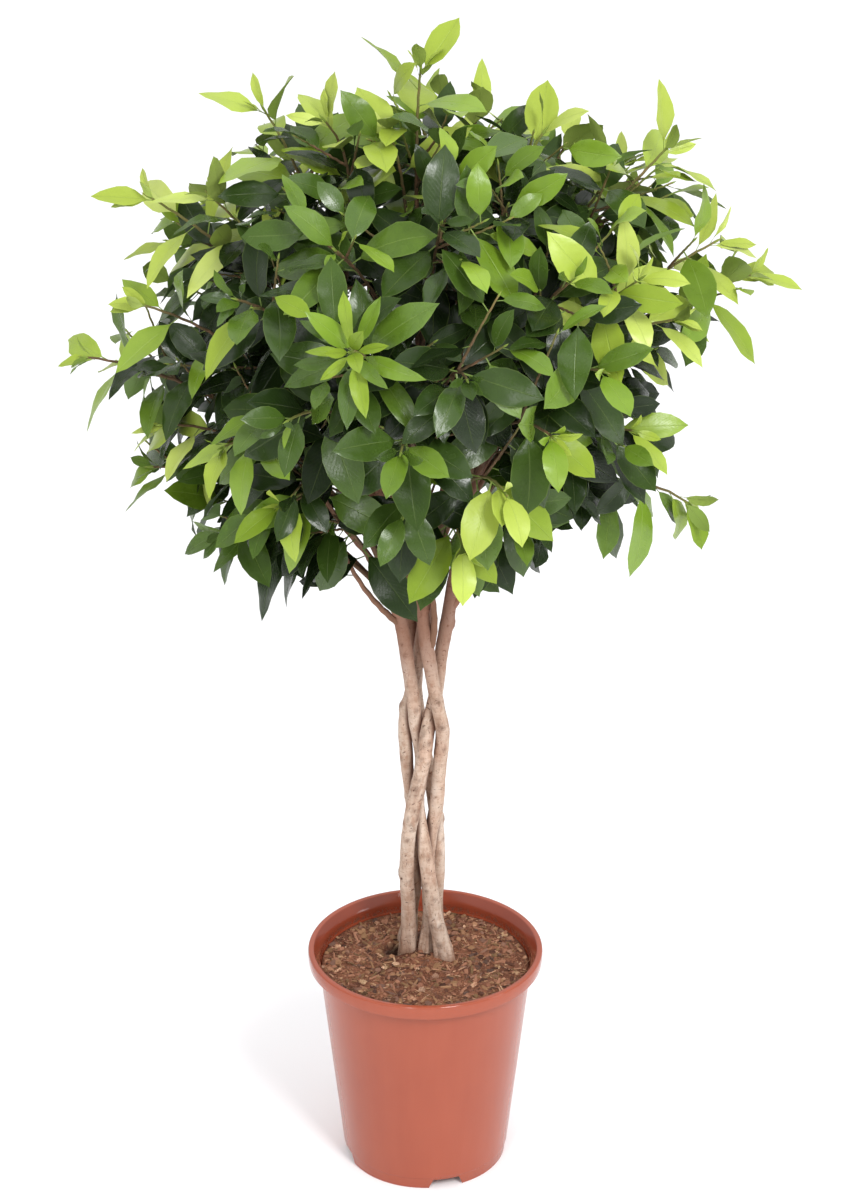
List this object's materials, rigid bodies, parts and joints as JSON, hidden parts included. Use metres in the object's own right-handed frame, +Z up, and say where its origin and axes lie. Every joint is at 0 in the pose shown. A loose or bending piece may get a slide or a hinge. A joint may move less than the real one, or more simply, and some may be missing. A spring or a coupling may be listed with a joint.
{
  "type": "potted braided ficus",
  "caption": "Tree-form ficus with braided stems, a round bushy crown of oval leaves, and a tapered nursery pot filled with potting mix.",
  "frame": {"origin": "centre of the pot's foot on the ground, under the middle of the crown", "axes": "+Z up along the stems, front towards -Y, +X to the right as seen from the front"},
  "size_m": [0.7144, 0.6304, 1.2007],
  "materials": {
    "pot_plastic": "satin",
    "potting_mix": "matte",
    "bark": "matte",
    "leaf_old": "satin",
    "leaf_young": "satin"
  },
  "bodies": {
    "root": {"pot": "pot_plastic", "soil": "potting_mix", "spray_back_1_1": "leaf_old", "spray_back_1_2": "leaf_old", "spray_back_1_3": "leaf_old", "spray_back_2_1": "leaf_old", "spray_back_2_2": "leaf_old", "spray_back_2_3": "leaf_old", "spray_back_3_1": "leaf_old", "spray_back_3_2": "leaf_old", "spray_back_3_3": "leaf_old", "spray_back_4_1": "leaf_old", "spray_back_4_2": "leaf_old", "spray_back_4_3": "leaf_old", "spray_bottom_left": "leaf_old", "spray_bottom_right": "leaf_old", "spray_far_left": "leaf_old", "spray_far_right": "leaf_old", "spray_front_bottom": "leaf_young", "spray_front_centre_low": "leaf_young", "spray_front_left": "leaf_old", "spray_front_left_bottom": "leaf_old", "spray_front_left_low": "leaf_young", "spray_front_left_middle": "leaf_young", "spray_front_left_top": "leaf_old", "spray_front_low": "leaf_old", "spray_front_middle": "leaf_old", "spray_front_right": "leaf_old", "spray_front_right_high": "leaf_old", "spray_front_right_low": "leaf_young", "spray_front_rosette": "leaf_young", "spray_front_top_centre": "leaf_old", "spray_front_top_left": "leaf_old", "spray_front_top_right": "leaf_old", "spray_low_left": "leaf_old", "spray_low_side_left": "leaf_old", "spray_right_bottom": "leaf_old", "spray_right_front_top": "leaf_young", "spray_right_inner_top": "leaf_old", "spray_right_low_middle": "leaf_old", "spray_shoulder_left": "leaf_young", "spray_shoulder_right": "leaf_young", "spray_side_left": "leaf_old", "spray_side_right": "leaf_young", "spray_side_right_low": "leaf_old", "spray_top_behind_centre": "leaf_old", "spray_top_centre": "leaf_young", "spray_top_left": "leaf_young", "spray_top_left_inner": "leaf_old", "spray_top_near_centre": "leaf_young", "spray_top_right": "leaf_young", "spray_top_right_back": "leaf_young", "spray_top_right_inner": "leaf_young", "spray_upper_left": "leaf_young", "stem_1": "bark", "stem_2": "bark", "stem_3": "bark", "stem_4": "bark", "stem_5": "bark"}
  },
  "joints": []
}
